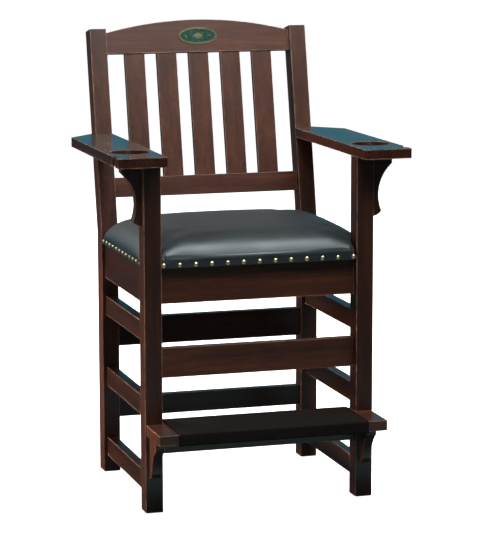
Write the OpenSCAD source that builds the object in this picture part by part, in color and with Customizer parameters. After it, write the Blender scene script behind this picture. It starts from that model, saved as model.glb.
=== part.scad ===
// Tall spectator chair of stained hardwood with a nailed leather seat,
// wide arms with cup recesses and cue notches, and a covered footrest.
// Millimetres. The origin is on the floor under the middle of the whole
// chair, Z is up, and the chair faces -Y.

/* [Frame] */
// Width over the outer faces of the legs
frame_w = 610; // [540:1:700]
// Depth over the legs at the floor
frame_d = 503; // [450:1:580]
// Height of the crest rail's peak above the floor
chair_h = 1219; // [1150:1:1300]
// Width of every leg and post, across the chair
leg_w = 45; // [42:0.5:54]
// Depth of the front legs
front_leg_d = 49; // [46:0.5:58]
// Depth of the rear posts
rear_post_d = 50; // [46:0.5:58]
// Height at which the rear posts bend back
knee_z = 662; // [650:1:690]
// Angle that the back leans
lean = 12; // [8:0.5:15]
// Length of post left off below the crest rail's peak
post_drop = 22.5; // [14:0.5:40]

/* [Rails and stretchers] */
// Height of the underside of the seat rails
seat_rail_z = 538; // [510:1:550]
// Height of the seat rails themselves
seat_rail_h = 92; // [75:1:95]
// Underside of the wide stretchers, front and rear
wide_z = 347; // [320:1:390]
// Height of the wide stretchers themselves
wide_h = 77; // [60:1:90]
// Height of the narrow stretchers, front and rear
narrow_h = 55; // [44:1:60]
// Underside of the lowest side stretchers
side_z = 48; // [40:1:70]
// Distance between one side stretcher and the next
side_pitch = 195; // [170:1:205]
// Height of the side stretchers themselves
side_h = 51; // [42:1:58]
// Thickness of the rails that run across the chair
cross_t = 22; // [18:0.5:24]
// Thickness of the rails that run front to back
side_t = 25; // [20:0.5:28]
// Set-back of the front rails behind the legs' front faces
front_inset = 22; // [16:0.5:24]
// Set-back of the rear rails from the posts' rear faces
rear_inset = 15; // [10:0.5:20]
// Set-back of the side rails from the legs' outer faces
side_inset = 9.5; // [6:0.5:12]

/* [Joinery] */
// Thickness of the tenons on rails and stretchers
tenon_t = 10; // [8:0.5:11]
// Shoulder above and below each tenon
tenon_shoulder = 6; // [4:0.5:8]
// Length of the tenons on the side rails and the back rails
tenon_l = 18; // [14:0.5:20]
// Gap round a tenon, dowel or screw in its hole
fit_gap = 0.2; // [0.1:0.05:0.4]
// Gap left past the end of a tenon, dowel or screw
end_gap = 1; // [0.5:0.1:1.5]
// Diameter of the dowels
dowel_d = 10; // [8:0.5:11]
// Length of the dowels
dowel_l = 24; // [20:1:26]

/* [Back] */
// Height of the crest rail at its middle
crest_h = 89; // [75:1:105]
// Rise of the crest rail's arch
crest_rise = 33; // [20:1:40]
// Thickness of the crest rail and the lower back rail
back_t = 22; // [20:0.5:30]
// Underside of the lower back rail
back_rail_z = 752; // [735:1:790]
// Height of the lower back rail itself
back_rail_h = 52; // [42:1:62]
// Width of a back slat
slat_w = 56; // [42:1:60]
// Thickness of a back slat
slat_t = 14; // [12:0.5:20]
// Space between a post and the nearest slat
slat_end_gap = 52; // [40:0.5:60]
// Length of the tenon at each end of a slat
slat_tenon_l = 12; // [8:0.5:16]

/* [Arms] */
// Height of the arms' top faces
arm_top_z = 921; // [880:1:960]
// Thickness of an arm
arm_t = 25; // [22:0.5:30]
// Width of an arm
arm_w = 127; // [118:1:145]
// Reach of an arm inside the leg's inner face
arm_lip = 2; // [0.5:0.5:8]
// Reach of an arm ahead of the front leg
arm_front = 66; // [56:1:90]
// Radius of an arm's front corners
arm_corner_r = 7; // [3:0.5:12]
// Reach of an arm back beside the rear post
arm_tail = 18; // [8:1:25]
// Length of the slanted cut at an arm's rear outer corner
arm_taper = 72; // [60:1:110]
// Width of the tail that the slanted cut leaves
arm_tail_w = 24; // [16:1:34]
// Radius of the cup recess
cup_r = 51; // [42:0.5:54]
// Depth of the cup recess
cup_depth = 16; // [10:0.5:18]
// Distance from the legs' front faces back to the cup's centre
cup_y = 74; // [66:1:100]
// Radius of the cue notch in an arm's outer edge
notch_r = 16; // [12:0.5:18]
// Distance from the legs' front faces forward to the cue notch
notch_reach = 17; // [10:1:30]

/* [Arm corbels] */
// Thickness of a corbel
corbel_t = 25; // [20:0.5:32]
// Height of a corbel
corbel_h = 156; // [145:1:185]
// Reach of a corbel under the arm
corbel_reach = 54; // [46:1:66]
// Width of a corbel at its waist
corbel_waist = 17; // [15:0.5:24]
// Radius of a corbel's hollow curve
corbel_bow_r = 106; // [95:1:125]
// Height of the straight lip under the arm
corbel_lip = 20; // [12:1:28]
// Radius of a corbel's rounded toe
corbel_toe_r = 32; // [28:1:40]

/* [Footrest] */
// Underside of the footrest board
foot_z = 205; // [180:1:225]
// Thickness of the footrest board
foot_t = 26; // [22:0.5:30]
// Reach of the board ahead of the front legs
foot_reach = 125; // [100:1:150]
// Set-back of the board's ends from the legs' outer faces
foot_inset = 3; // [0.5:0.5:8]
// Width of the board's cover, end to end
cover_w = 500; // [420:1:508]
// Thickness of the cover
cover_t = 3.5; // [1.5:0.25:5]
// Strip of cover folded under the front edge
cover_fold = 14; // [8:1:30]
// Thickness of a footrest bracket
bracket_t = 25; // [20:0.5:32]
// Height of a footrest bracket
bracket_h = 111; // [95:1:112]
// Reach of a bracket under the board
bracket_top = 60; // [50:1:75]
// Reach of a bracket at its waist
bracket_waist = 20.5; // [18:0.5:22]
// Radius of a bracket's hollow curve
bracket_bow_r = 91; // [80:1:110]
// Height of a bracket's straight lip under the board
bracket_lip = 25; // [18:1:30]
// Radius of a bracket's rounded toe
bracket_toe_r = 22; // [22:1:30]

/* [Seat] */
// Thickness of the seat board
board_t = 16; // [14:0.5:20]
// Thickness of the leather
leather_t = 2; // [1.5:0.1:2.5]
// Gap between the leather and what it wraps
wrap_gap = 0.3; // [0.2:0.05:0.5]
// Gap between the leather and the legs
leg_gap = 0.6; // [0.4:0.1:1.5]
// Set-back of the leather from the legs' outer faces
leather_inset = 3; // [1:0.5:5]
// Set-back of the leather from the legs' front faces
leather_front = 4; // [1:0.5:8]
// Height of the leather's widest line above the seat board
shoulder_h = 9; // [6:0.5:14]
// Bulge of the leather at that line
bulge = 2; // [1:0.1:2.6]
// Rise of the rounded edge above the shoulder
edge_h = 43; // [35:1:55]
// Width of the rounded edge
edge_r = 60; // [46:1:80]
// Rise of the crown above the rounded edge
crown_h = 25; // [15:1:35]
// Share of the edge's rise that is left beside a leg
tuck = 0.62; // [0.5:0.02:0.9]
// Diameter of a nail's head
nail_d = 12.5; // [10:0.5:14]
// Height of a nail's head
nail_h = 3.5; // [2.5:0.1:4.5]
// Width of a nail's square shank
nail_shank = 1.6; // [1.2:0.1:2]
// Length of a nail's shank
nail_l = 15; // [10:1:18]
// Spacing of the nails along the front
nail_pitch_front = 42.3; // [30:0.1:50]
// Spacing of the nails along the sides
nail_pitch_side = 36; // [28:0.1:45]
// Distance from a leg to the first nail's centre
nail_margin = 7; // [7:0.5:16]

/* [Corner blocks, screws and glides] */
// Length of a corner block along each rail
block_l = 70; // [60:1:85]
// Height of a corner block
block_h = 30; // [25:1:40]
// Diameter of a screw's shank
screw_d = 4; // [3.5:0.5:4.5]
// Diameter of a screw's head
screw_head_d = 8; // [7:0.5:9]
// Height of a screw's head
screw_head_h = 3; // [2:0.5:4]
// Length of a screw held by the wood past the block or board
screw_bite = 12; // [8:1:13]
// Diameter of a foot glide
glide_d = 24; // [18:1:36]
// Thickness of a foot glide
glide_t = 2; // [1.5:0.5:4]
// Diameter of a glide's nail
glide_pin_d = 3; // [2:0.5:4]
// Length of a glide's nail
glide_pin_l = 14; // [10:1:20]

/* [Medallion] */
// Width of the medallion
medal_w = 108; // [80:1:120]
// Height of the medallion
medal_h = 46; // [34:1:48]
// Thickness of the medallion's plate
medal_t = 2.4; // [2:0.2:4]
// Width of the medallion's rim
medal_rim = 4; // [2.5:0.5:6]
// Depth of the enamel set inside the rim
enamel_t = 1.2; // [0.8:0.1:1.5]
// Half width of the raised lozenge in the middle
lozenge_r = 9; // [6:0.5:12]

/* [Hidden] */
$fn = 96;

// Colours of the stained wood, the leather, the cover and the metals
wood_colour = "#4a2c24";
leather_colour = "#33363a";
cover_colour = "#1f1a17";
brass_colour = "#c9b27a";
steel_colour = "#9a9a96";
raw_wood_colour = "#b08d62";
enamel_colour = "#0f5a44";
foam_colour = "#d9d2b8";
glide_colour = "#2a2a2a";

// Frame: outer and inner faces of the legs, and the posts' front face
outer_x = frame_w / 2;
inner_x = outer_x - leg_w;
knee_y = frame_d - rear_post_d;
leg_mid_x = inner_x + leg_w / 2;
leg_mid_y = front_leg_d / 2;

// Rails: where the ones across and the ones front to back lie
front_rail_y = front_inset;
rear_rail_y = frame_d - rear_inset - cross_t;
side_rail_x = outer_x - side_inset - side_t;
seat_z = seat_rail_z + seat_rail_h;
narrow_z = foot_z - narrow_h;
front_levels = [[seat_rail_z, seat_rail_h], [wide_z, wide_h], [narrow_z, narrow_h]];
side_levels = [
    [seat_rail_z, seat_rail_h],
    for (i = [0:2]) [side_z + i * side_pitch, side_h]
];

// Tenons across the chair stop short of the ones that come in from the side
tenon_web = 2;
side_tenon_x = side_rail_x + (side_t - tenon_t) / 2;
cross_tenon_l = side_tenon_x - tenon_web - inner_x;

// Back: distances up the leaning posts from the bend, and depths behind their front faces
back_y = (rear_post_d - back_t) / 2;
slat_y = (rear_post_d - slat_t) / 2;
crest_s = (chair_h - knee_z + back_y * sin(lean)) / cos(lean);
crest_low_s = crest_s - crest_h;
crest_end_s = crest_s - crest_rise;
crest_r = (inner_x * inner_x + crest_rise * crest_rise) / (2 * crest_rise);
post_s = crest_s - post_drop;
back_rail_s = (back_rail_z - knee_z + back_y * sin(lean)) / cos(lean);
back_rail_top_s = back_rail_s + back_rail_h;
slat_count = 5;
slat_shoulder = 4;
slat_pitch = (2 * inner_x - 2 * slat_end_gap - slat_w) / (slat_count - 1);

// Arms
arm_z = arm_top_z - arm_t;
arm_in = inner_x - arm_lip;
arm_out = arm_in + arm_w;
arm_post_y = knee_y + (arm_top_z - knee_z) * tan(lean);
arm_tail_y = arm_post_y + arm_tail;
cup_x = arm_in + arm_w / 2;
corbel_y = (front_leg_d - corbel_t) / 2;

// Footrest
foot_x = outer_x - foot_inset;
foot_top_z = foot_z + foot_t;
bracket_x = inner_x + (leg_w - bracket_t) / 2;
foot_corner_r = 4;
cover_edge_r = 1.5 * cover_t;

// Seat cushion: its plan has a corner cut out for each leg
board_top_z = seat_z + board_t;
cushion_x = outer_x - leather_inset;
cushion_front = leather_front;
cushion_rear = frame_d - leather_front;
cushion_mid = (cushion_front + cushion_rear) / 2;
cushion_half = (cushion_rear - cushion_front) / 2;
cut_x = inner_x - leg_gap;
cut_front = front_leg_d + leg_gap;
cut_rear = knee_y - leg_gap;
shoulder_z = board_top_z + shoulder_h;
nail_z = seat_z + board_t / 2;
board_inset = leather_t + wrap_gap;

// Medallion: middle of the crest rail's face, and pins that hold the plate
medal_s = (crest_low_s + crest_s) / 2;
medal_pin_d = 3;
medal_pin_l = 8;
medal_pin_x = medal_w / 3;
medal_dot_r = 2.5;
medal_dot_x = medal_w * 5 / 16;
lozenge_long = 1.6 * lozenge_r;
enamel_fill = enamel_t * 0.75;

// The whole chair's middle, front to back, is the origin
front_edge = -foot_reach - cover_t;
rear_edge = knee_y + rear_post_d * cos(lean) + post_s * sin(lean);
middle_y = (front_edge + rear_edge) / 2;

// Points on an arc about c, from angle a0 to angle a1
function arc(c, r, a0, a1, n = 10) =
    [for (i = [0:n]) c + r * [cos(a0 + (a1 - a0) * i / n), sin(a0 + (a1 - a0) * i / n)]];

// From the legs' own frame, with y = 0 at their front faces, to the chair's
module on_floor() { translate([0, -middle_y, 0]) children(); }

// The left side is the right side's mirror image
module left() { mirror([1, 0, 0]) children(); }

// The leaning back's own frame: y behind the posts' front faces, z up the posts
module in_back() { translate([0, knee_y, knee_z]) rotate([-lean, 0, 0]) children(); }

// Outline in the y-z plane, pulled out along x from 0 to w
module slab_yz(points, w) { rotate([90, 0, 90]) linear_extrude(w) polygon(points); }

// Outline in the x-z plane, pulled out along y from 0 to t
module slab_xz(t) { translate([0, t, 0]) rotate([90, 0, 0]) linear_extrude(t) children(); }

// Bar across the chair with a tenon at each end
module cross_bar(y, z, h, t, tenon) {
    translate([-inner_x, y, z]) cube([2 * inner_x, t, h]);
    translate([-inner_x - tenon, y + (t - tenon_t) / 2, z + tenon_shoulder])
        cube([2 * (inner_x + tenon), tenon_t, h - 2 * tenon_shoulder]);
}

// The hole for the right-hand tenon of such a bar
module cross_mortise(y, z, h, t, tenon) {
    translate([inner_x - 1, y + (t - tenon_t) / 2 - fit_gap, z + tenon_shoulder - fit_gap])
        cube([tenon + end_gap + 1, tenon_t + 2 * fit_gap, h - 2 * tenon_shoulder + 2 * fit_gap]);
}

// Bar from front leg to rear post with a tenon at each end
module side_bar(z, h) {
    translate([side_rail_x, front_leg_d, z]) cube([side_t, knee_y - front_leg_d, h]);
    translate([side_tenon_x, front_leg_d - tenon_l, z + tenon_shoulder])
        cube([tenon_t, knee_y - front_leg_d + 2 * tenon_l, h - 2 * tenon_shoulder]);
}

// The holes for both tenons of such a bar
module side_mortise(z, h) {
    reach = tenon_l + end_gap;
    translate([side_tenon_x - fit_gap, front_leg_d - reach, z + tenon_shoulder - fit_gap])
        cube([
            tenon_t + 2 * fit_gap, knee_y - front_leg_d + 2 * reach, h - 2 * tenon_shoulder + 2 * fit_gap
        ]);
}

// Dowels, standing along z with the middle of the dowel at the origin
module dowel() { translate([0, 0, -dowel_l / 2]) cylinder(d = dowel_d, h = dowel_l); }
module dowel_hole() {
    l = dowel_l / 2 + end_gap;
    translate([0, 0, -l]) cylinder(d = dowel_d + 2 * fit_gap, h = 2 * l);
}

// Where the right-hand dowels stand: arm on leg, arm on post, corbel and bracket on leg.
// A share is a part of the leg's width or depth, or of the support's height down from its top.
arm_dowel_x_share = [0.28, 0.72];
arm_dowel_y_share = 0.3;
corbel_dowel_share = [0.8, 0.24];
bracket_dowel_share = [0.75, 0.2];
arm_dowel_x = [for (share = arm_dowel_x_share) inner_x + leg_w * share];
arm_dowel_y = front_leg_d * arm_dowel_y_share;
corbel_dowel_z = [for (share = corbel_dowel_share) arm_z - corbel_h * share];
bracket_dowel_z = [for (share = bracket_dowel_share) foot_z - bracket_h * share];
module at_arm_dowels() {
    for (x = arm_dowel_x)
        translate([x, arm_dowel_y, arm_z]) children();
    translate([leg_mid_x, knee_y + (arm_z + arm_t / 2 - knee_z) * tan(lean), arm_z + arm_t / 2])
        rotate([90, 0, 0]) children();
}
module at_corbel_dowels() {
    for (z = corbel_dowel_z)
        translate([outer_x, leg_mid_y, z]) rotate([0, 90, 0]) children();
}
module at_bracket_dowels() {
    for (z = bracket_dowel_z)
        translate([leg_mid_x, 0, z]) rotate([90, 0, 0]) children();
}

// Foot glide under a leg's middle, and the hole for its nail
module glide() {
    cylinder(d = glide_d, h = glide_t);
    cylinder(d = glide_pin_d, h = glide_t + glide_pin_l);
}
module glide_hole() {
    translate([0, 0, glide_t - 1])
        cylinder(d = glide_pin_d + 2 * fit_gap, h = 1 + glide_pin_l + end_gap);
}

module front_leg() {
    color(wood_colour) on_floor() difference() {
        translate([inner_x, 0, glide_t]) cube([leg_w, front_leg_d, arm_z - glide_t]);
        for (level = front_levels)
            cross_mortise(front_rail_y, level[0], level[1], cross_t, cross_tenon_l);
        for (level = side_levels)
            side_mortise(level[0], level[1]);
        at_arm_dowels() dowel_hole();
        at_corbel_dowels() dowel_hole();
        at_bracket_dowels() dowel_hole();
        translate([leg_mid_x, leg_mid_y, 0]) glide_hole();
    }
}

module rear_post() {
    bend = rear_post_d * tan(lean / 2);
    top_front = [knee_y + post_s * sin(lean), knee_z + post_s * cos(lean)];
    top_rear = top_front + rear_post_d * [cos(lean), -sin(lean)];
    color(wood_colour) on_floor() difference() {
        translate([inner_x, 0, 0]) slab_yz([
            [knee_y, glide_t], [knee_y, knee_z], top_front,
            top_rear, [frame_d, knee_z - bend], [frame_d, glide_t]
        ], leg_w);
        for (level = front_levels)
            cross_mortise(rear_rail_y, level[0], level[1], cross_t, cross_tenon_l);
        for (level = side_levels)
            side_mortise(level[0], level[1]);
        in_back() {
            cross_mortise(back_y, crest_low_s, crest_h - crest_rise, back_t, tenon_l);
            cross_mortise(back_y, back_rail_s, back_rail_h, back_t, tenon_l);
        }
        at_arm_dowels() dowel_hole();
        translate([leg_mid_x, knee_y + rear_post_d / 2, 0]) glide_hole();
    }
}

module front_bar(level) {
    color(wood_colour) on_floor()
        cross_bar(front_rail_y, level[0], level[1], cross_t, cross_tenon_l);
}
module rear_bar(level) {
    color(wood_colour) on_floor()
        cross_bar(rear_rail_y, level[0], level[1], cross_t, cross_tenon_l);
}
module side_stretcher(level) { color(wood_colour) on_floor() side_bar(level[0], level[1]); }

// Seat rails take the corner blocks' screws
module front_seat_rail() {
    color(wood_colour) difference() {
        front_bar(front_levels[0]);
        on_floor() block_screws() screw_hole();
    }
}
module rear_seat_rail() {
    color(wood_colour) difference() {
        rear_bar(front_levels[0]);
        on_floor() block_screws() screw_hole();
    }
}
module side_seat_rail() {
    color(wood_colour) difference() {
        side_stretcher(side_levels[0]);
        on_floor() block_screws() screw_hole();
    }
}

// The lower front stretcher carries the footrest board
module footrest_stretcher() {
    color(wood_colour) difference() {
        front_bar(front_levels[2]);
        on_floor() at_foot_screws() foot_screw_hole();
    }
}

// Slats, and the slots for their tenons in the two back rails
module at_slat(i) { translate([(i - (slat_count - 1) / 2) * slat_pitch, slat_y, 0]) children(); }
slat_tenon_w = slat_w - 2 * slat_shoulder;
slat_low_s = back_rail_top_s;
slat_high_s = crest_low_s;
module slat_slots() {
    reach = slat_tenon_l + end_gap;
    for (i = [0:slat_count - 1])
        at_slat(i) translate([
            -slat_tenon_w / 2 - fit_gap, (slat_t - tenon_t) / 2 - fit_gap, slat_low_s - reach
        ]) cube([
            slat_tenon_w + 2 * fit_gap, tenon_t + 2 * fit_gap, slat_high_s - slat_low_s + 2 * reach
        ]);
}
module back_slat(i) {
    color(wood_colour) on_floor() in_back() at_slat(i) {
        translate([-slat_w / 2, 0, slat_low_s]) cube([slat_w, slat_t, slat_high_s - slat_low_s]);
        translate([-slat_tenon_w / 2, (slat_t - tenon_t) / 2, slat_low_s - slat_tenon_l])
            cube([slat_tenon_w, tenon_t, slat_high_s - slat_low_s + 2 * slat_tenon_l]);
    }
}

module crest_rail() {
    tenon_z = crest_low_s + tenon_shoulder;
    tenon_h = crest_h - crest_rise - 2 * tenon_shoulder;
    color(wood_colour) on_floor() in_back() difference() {
        union() {
            translate([0, back_y, 0]) slab_xz(back_t) intersection() {
                translate([0, crest_s - crest_r]) circle(r = crest_r, $fn = 360);
                translate([-inner_x, crest_low_s]) square([2 * inner_x, crest_h + 1]);
            }
            translate([-inner_x - tenon_l, back_y + (back_t - tenon_t) / 2, tenon_z])
                cube([2 * (inner_x + tenon_l), tenon_t, tenon_h]);
        }
        slat_slots();
        medal_pins(fit_gap, end_gap);
    }
}

module lower_back_rail() {
    color(wood_colour) on_floor() in_back() difference() {
        cross_bar(back_y, back_rail_s, back_rail_h, back_t, tenon_l);
        slat_slots();
    }
}

// Outline of an arm, seen from above
arm_outline = concat(
    arc([arm_in + arm_corner_r, -arm_front + arm_corner_r], arm_corner_r, 180, 270),
    arc([arm_out - arm_corner_r, -arm_front + arm_corner_r], arm_corner_r, 270, 360),
    [[arm_out, arm_tail_y - arm_taper]],
    arc([outer_x, arm_tail_y - arm_tail_w], arm_tail_w, 30, 90),
    [[arm_in, arm_tail_y]]
);
module armrest() {
    color(wood_colour) on_floor() difference() {
        translate([0, 0, arm_z]) linear_extrude(arm_t) polygon(arm_outline);
        in_back() translate([0, -fit_gap, -1]) cube([outer_x + fit_gap, rear_post_d, post_s]);
        translate([cup_x, cup_y, arm_top_z - cup_depth]) cylinder(r = cup_r, h = cup_depth + 1);
        translate([arm_out, -notch_reach, arm_z - 1]) cylinder(r = notch_r, h = arm_t + 2);
        at_arm_dowels() dowel_hole();
    }
}

// Outline of a support under height high: a straight lip, a hollow curve, a round toe
module support_outline(high, h, reach, waist, bow_r, lip, toe_r) {
    toe = high - h + toe_r;
    bow_x = waist + bow_r;
    bow_z = high - lip - sqrt(pow(bow_r, 2) - pow(bow_x - reach, 2));
    difference() {
        union() {
            translate([0, toe]) square([reach, high - toe]);
            intersection() {
                translate([0, high - h]) square([reach, toe_r]);
                translate([0, toe]) circle(r = toe_r);
            }
        }
        translate([bow_x, bow_z]) circle(r = bow_r, $fn = 180);
    }
}

// Corbel on the leg's outer face, under the arm
module arm_corbel() {
    color(wood_colour) on_floor() difference() {
        translate([outer_x, corbel_y, 0]) slab_xz(corbel_t) support_outline(
            arm_z, corbel_h, corbel_reach, corbel_waist, corbel_bow_r, corbel_lip, corbel_toe_r
        );
        at_corbel_dowels() dowel_hole();
    }
}

// Bracket on the leg's front face, under the footrest board
module footrest_bracket() {
    color(wood_colour) on_floor() difference() {
        translate([bracket_x, 0, 0]) rotate([90, 0, 90]) linear_extrude(bracket_t) mirror([1, 0])
            support_outline(
                foot_z, bracket_h, bracket_top, bracket_waist, bracket_bow_r, bracket_lip, bracket_toe_r
            );
        at_bracket_dowels() dowel_hole();
    }
}

// Footrest board: runs back between the legs, and across their front faces
module footrest_board() {
    in = inner_x - fit_gap;
    color(wood_colour) on_floor() difference() {
        translate([0, 0, foot_z]) linear_extrude(foot_t) polygon(concat(
            arc([-foot_x + foot_corner_r, -foot_reach + foot_corner_r], foot_corner_r, 180, 270, 6),
            arc([foot_x - foot_corner_r, -foot_reach + foot_corner_r], foot_corner_r, 270, 360, 6),
            [[foot_x, -fit_gap], [in, -fit_gap], [in, front_leg_d]],
            [[-in, front_leg_d], [-in, -fit_gap], [-foot_x, -fit_gap]]
        ));
        at_foot_screws() foot_screw_hole();
    }
}

// Cover: up the board's rear edge, over its top and round under its front edge
module footrest_cover() {
    out = -foot_reach - cover_t;
    rear = front_leg_d + cover_t;
    high = foot_top_z + cover_t;
    color(cover_colour) on_floor() translate([-cover_w / 2, 0, 0]) slab_yz(concat(
        [[-foot_reach + cover_fold, foot_z], [-foot_reach + cover_fold, foot_z - cover_t]],
        arc([out + cover_edge_r, foot_z - cover_t + cover_edge_r], cover_edge_r, 270, 180, 4),
        arc([out + cover_edge_r, high - cover_edge_r], cover_edge_r, 180, 90, 4),
        arc([rear - cover_edge_r, high - cover_edge_r], cover_edge_r, 90, 0, 4),
        [[rear, foot_z], [front_leg_d, foot_z], [front_leg_d, foot_top_z]],
        [[-foot_reach, foot_top_z], [-foot_reach, foot_z]]
    ), cover_w);
}

// Seat board: plan of the cushion, drawn in by the leather's thickness
module cushion_plan(inset) {
    x = cushion_x - inset;
    cx = cut_x - inset;
    front = cushion_front + inset;
    rear = cushion_rear - inset;
    cf = cut_front + inset;
    cr = cut_rear - inset;
    polygon([
        [-cx, front], [cx, front], [cx, cf], [x, cf], [x, cr], [cx, cr],
        [cx, rear], [-cx, rear], [-cx, cr], [-x, cr], [-x, cf], [-cx, cf]
    ]);
}
module seat_board() {
    color(raw_wood_colour) on_floor() difference() {
        translate([0, 0, seat_z]) linear_extrude(board_t) cushion_plan(board_inset);
        all_nail_holes();
        at_seat_screws() seat_screw_hole();
    }
}

// Height of the cushion over a point of its plan, for a form drawn in by inset
function edge_rise(d) = sqrt(1 - pow(1 - min(max(d / edge_r, 0), 1), 2));
function leg_space(x, y, inset) = norm([
    max(cut_x - inset - abs(x), 0),
    max(min(y - cut_front - inset, cut_rear - inset - y), 0)
]);
function tuck_at(x, y, inset) = tuck + (1 - tuck) * edge_rise(leg_space(x, y, inset));
function dome(share) = 1 - pow(share, 2);
function crown_at(x, y) = crown_h * dome(x / cushion_x) * dome((y - cushion_mid) / cushion_half);
function cushion_z(x, y, inset) = shoulder_z - inset + crown_at(x, y)
    + edge_h * edge_rise(cushion_x - inset - abs(x))
    * edge_rise(min(y - cushion_front, cushion_rear - y) - inset) * tuck_at(x, y, inset);

// Grid lines of the cushion's form, closer together at its edges
edge_steps = [0, 0.09, 0.26, 0.52, 1];
half_steps = [0, 0.28, 0.54, 0.78, 1];
span_steps = [0, 0.07, 0.18, 0.33, 0.5, 0.67, 0.82, 0.93, 1];
edge_n = len(edge_steps) - 1;
function cushion_xs(inset) =
    let (x = cushion_x - inset, cx = cut_x - inset)
    let (right = concat(
        [for (s = half_steps) cx * s],
        [for (i = [edge_n - 1:-1:0]) x - (x - cx) * edge_steps[i]]
    ))
    concat([for (i = [len(right) - 1:-1:1]) -right[i]], right);
function cushion_ys(inset) =
    let (front = cushion_front + inset, rear = cushion_rear - inset)
    let (cf = cut_front + inset, cr = cut_rear - inset)
    concat(
        [for (i = [0:edge_n - 1]) front + (cf - front) * edge_steps[i]],
        [for (s = span_steps) cf + (cr - cf) * s],
        [for (i = [edge_n - 1:-1:0]) rear - (rear - cr) * edge_steps[i]]
    );

// Walk round the plan's edge as pairs of grid indexes, and the cells inside it
function cushion_edge(nx, ny) =
    let (a = edge_n, b = nx - 1 - edge_n, c = ny - 1 - edge_n, w = nx - 1, d = ny - 1)
    concat(
        [for (i = [a:b - 1]) [i, 0]], [for (j = [0:a - 1]) [b, j]],
        [for (i = [b:w - 1]) [i, a]], [for (j = [a:c - 1]) [w, j]],
        [for (i = [w:-1:b + 1]) [i, c]], [for (j = [c:d - 1]) [b, j]],
        [for (i = [b:-1:a + 1]) [i, d]], [for (j = [d:-1:c + 1]) [a, j]],
        [for (i = [a:-1:1]) [i, c]], [for (j = [c:-1:a + 1]) [0, j]],
        [for (i = [0:a - 1]) [i, a]], [for (j = [a:-1:1]) [a, j]]
    );
function in_plan(i, j, nx, ny) =
    (i >= edge_n && i < nx - 1 - edge_n) || (j >= edge_n && j < ny - 1 - edge_n);
function side_of(k, n) = k == 0 ? -1 : k == n - 1 ? 1 : 0;
function quad(a, b, c, d) = [[a, b, c], [a, c, d]];

// Closed form of the cushion from height low, straight up to height band,
// out to the shoulder and over the rounded edge to the crown
module cushion_form(inset, low, band) {
    xs = cushion_xs(inset);
    ys = cushion_ys(inset);
    nx = len(xs);
    ny = len(ys);
    edge = cushion_edge(nx, ny);
    n = len(edge);
    cells = [for (j = [0:ny - 2]) for (i = [0:nx - 2]) if (in_plan(i, j, nx, ny)) [i, j]];
    points = concat(
        [for (j = [0:ny - 1]) for (i = [0:nx - 1]) [
            xs[i] + bulge * side_of(i, nx), ys[j] + bulge * side_of(j, ny),
            cushion_z(xs[i], ys[j], inset)
        ]],
        [for (j = [0:ny - 1]) for (i = [0:nx - 1]) [xs[i], ys[j], low]],
        [for (e = edge) [xs[e[0]], ys[e[1]], band]]
    );
    top = [for (c = cells) let (k = c[0] + c[1] * nx) each quad(k, k + nx, k + nx + 1, k + 1)];
    base = [for (c = cells) let (k = nx * ny + c[0] + c[1] * nx) each quad(k, k + 1, k + nx + 1, k + nx)];
    wall = [for (k = [0:n - 1])
        let (m = (k + 1) % n, p = edge[k][0] + edge[k][1] * nx, q = edge[m][0] + edge[m][1] * nx)
        let (u = nx * ny, v = 2 * nx * ny)
        each concat(quad(u + p, v + k, v + m, u + q), quad(v + k, p, q, v + m))
    ];
    polyhedron(points, concat(top, base, wall));
}
foam_band = 3;
module seat_foam() {
    color(foam_colour) on_floor()
        cushion_form(board_inset, board_top_z, board_top_z + foam_band);
}
module seat_leather() {
    color(leather_colour) on_floor() difference() {
        cushion_form(0, seat_z, board_top_z - 1);
        cushion_form(leather_t, seat_z - 1, board_top_z - 1);
        all_nail_holes();
    }
}

// Domed nails: places along the front and the right side, pointing inwards
function spread(from, to, pitch) =
    let (n = max(1, round((to - from) / pitch)))
    [for (i = [0:n]) from + (to - from) * i / n];
front_nail_xs = spread(-inner_x + nail_margin, inner_x - nail_margin, nail_pitch_front);
side_nail_ys = spread(front_leg_d + nail_margin, knee_y - nail_margin, nail_pitch_side);
module at_front_nails() {
    for (x = front_nail_xs)
        translate([x, cushion_front, nail_z]) rotate([90, 0, 0]) children();
}
module at_side_nails() {
    for (y = side_nail_ys)
        translate([cushion_x, y, nail_z]) rotate([0, 90, 0]) children();
}
module nail() {
    ball_r = (nail_d * nail_d / 4 + nail_h * nail_h) / (2 * nail_h);
    intersection() {
        translate([0, 0, nail_h - ball_r]) sphere(r = ball_r, $fn = 48);
        cylinder(d = nail_d, h = nail_h);
    }
    translate([-nail_shank / 2, -nail_shank / 2, -nail_l])
        cube([nail_shank, nail_shank, nail_l + nail_h / 2]);
}
module nail_hole() {
    w = nail_shank + 2 * fit_gap;
    translate([-w / 2, -w / 2, -nail_l - end_gap]) cube([w, w, nail_l + end_gap + 1]);
}
module all_nail_holes() {
    at_front_nails() nail_hole();
    at_side_nails() nail_hole();
    left() at_side_nails() nail_hole();
}
module nails_front() { color(brass_colour) on_floor() at_front_nails() nail(); }
module nails_right() { color(brass_colour) on_floor() at_side_nails() nail(); }

// Screws, standing along z with the head's top at the origin. The bore goes on over the head to open air.
bore_above = 60;
module screw(l) {
    translate([0, 0, -screw_head_h])
        cylinder(d1 = screw_d, d2 = screw_head_d, h = screw_head_h);
    translate([0, 0, -l]) cylinder(d = screw_d, h = l - screw_head_h / 2);
}
module screw_bore(l) {
    translate([0, 0, -screw_head_h - fit_gap])
        cylinder(d = screw_head_d + 2 * fit_gap, h = bore_above);
    translate([0, 0, -l - end_gap]) cylinder(d = screw_d + 2 * fit_gap, h = l + end_gap);
}

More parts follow.
